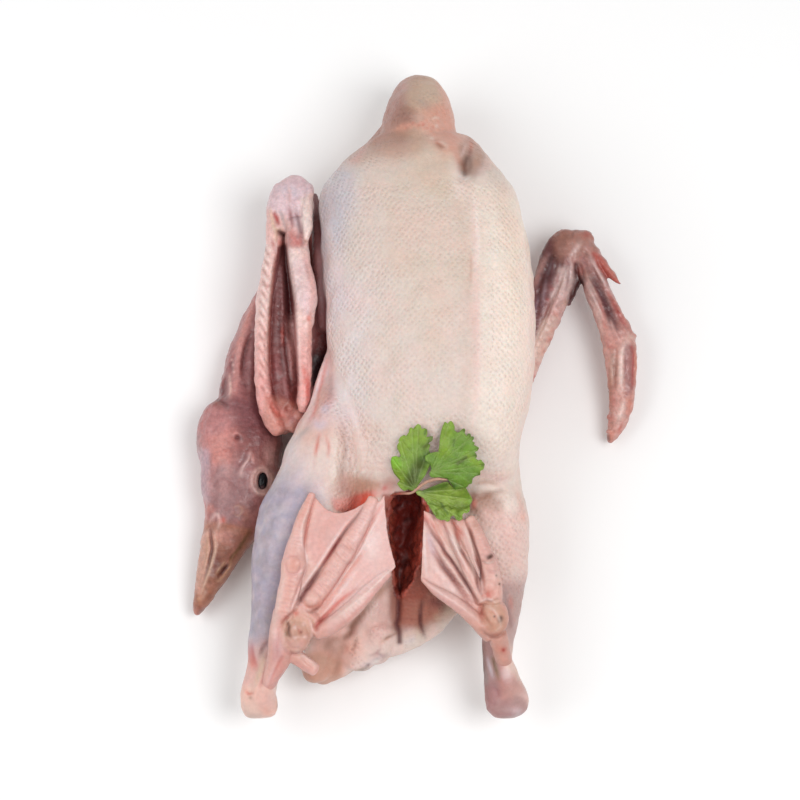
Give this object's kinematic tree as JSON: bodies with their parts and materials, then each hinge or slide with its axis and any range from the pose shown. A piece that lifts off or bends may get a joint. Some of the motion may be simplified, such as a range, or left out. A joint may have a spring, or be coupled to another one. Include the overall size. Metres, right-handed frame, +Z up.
{
  "type": "whole raw goose",
  "caption": "Whole raw plucked goose on its back, head and folded neck beside it, one wing folded and one spread, webbed feet on the opened belly, with a sprig of coriander.",
  "frame": {"origin": "centre of the flat patch of the back that the bird rests on, under the middle of the breast", "axes": "+Z up out of the breast, +Y towards the folded neck, -Y towards the tail, -X towards the side the head lies on"},
  "size_m": [0.3353, 0.4998, 0.1369],
  "materials": {
    "goose_skin": "moist plucked skin with follicle dots",
    "coriander_leaf": "fresh matt leaf"
  },
  "bodies": {
    "root": {"goose": "goose_skin", "coriander_sprig": "coriander_leaf"}
  },
  "joints": []
}
